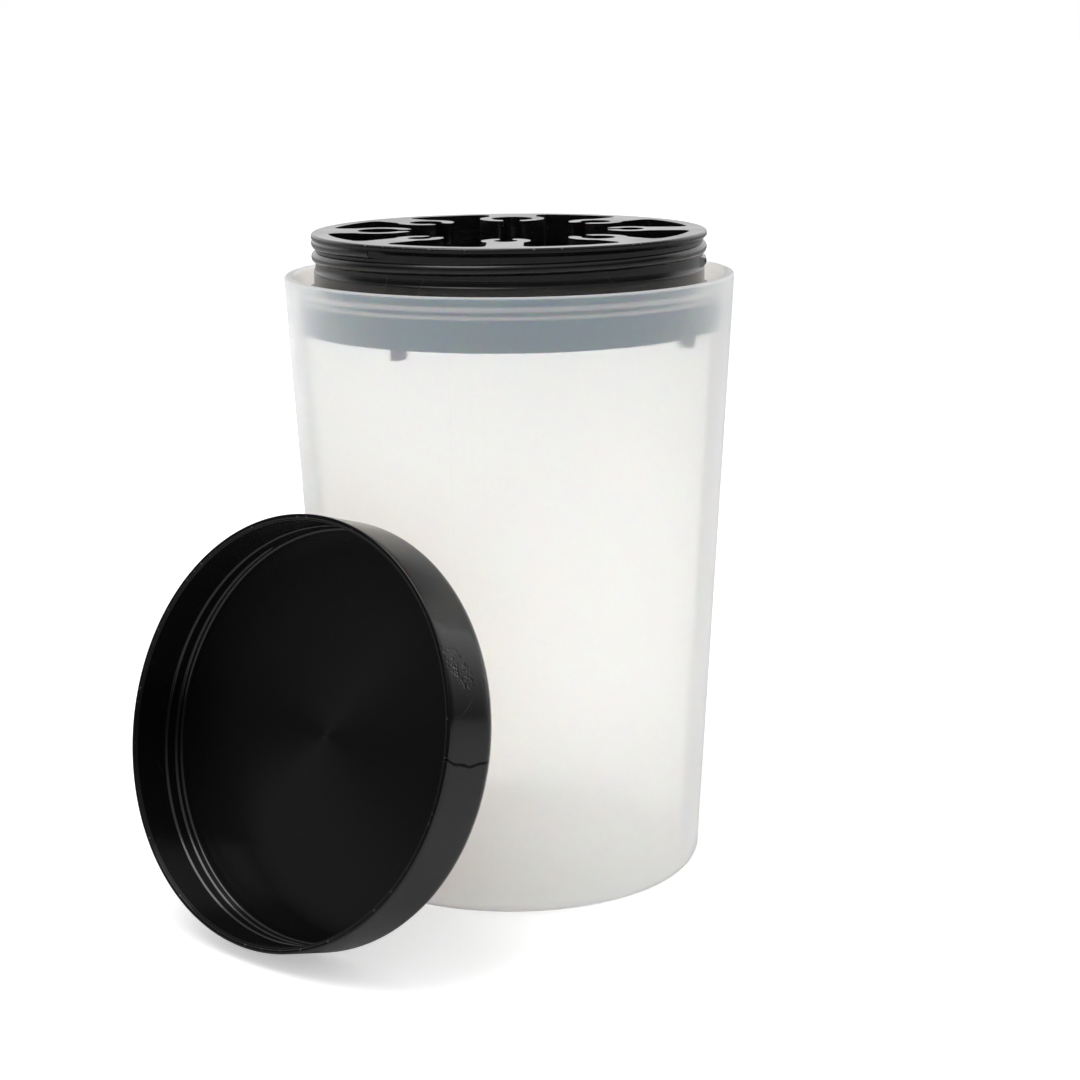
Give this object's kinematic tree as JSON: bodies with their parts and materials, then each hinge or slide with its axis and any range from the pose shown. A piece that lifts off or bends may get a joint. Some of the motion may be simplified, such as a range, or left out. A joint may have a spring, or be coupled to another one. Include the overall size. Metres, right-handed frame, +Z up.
{
  "type": "brush washing cup with lid",
  "caption": "Tapered frosted cup for rinsing paint brushes, with a threaded black collar whose slit clips hold brushes upright, and its round screw lid leaning beside it.",
  "frame": {"origin": "centre of the cup's flat foot, on the table", "axes": "+Z up along the cup's axis; -Y towards the lid that leans on the cup's side"},
  "size_m": [0.094, 0.1292, 0.1363],
  "materials": {
    "cup": "frosted translucent polypropylene",
    "collar": "glossy black",
    "lid": "glossy black"
  },
  "bodies": {
    "cup": {"cup": "cup"},
    "collar": {"collar": "collar"},
    "lid": {"lid": "lid"}
  },
  "joints": [
    {"name": "collar_lift", "type": "slide", "parent": "cup", "child": "collar", "axis": [0, 0, 1], "range_m": [0, 0.04]},
    {"name": "lid_lay_down", "type": "hinge", "parent": "cup", "child": "lid", "pos_m": [0, -0.08322, 0], "axis": [1, 0, 0], "range_deg": [0, 106.7]}
  ]
}
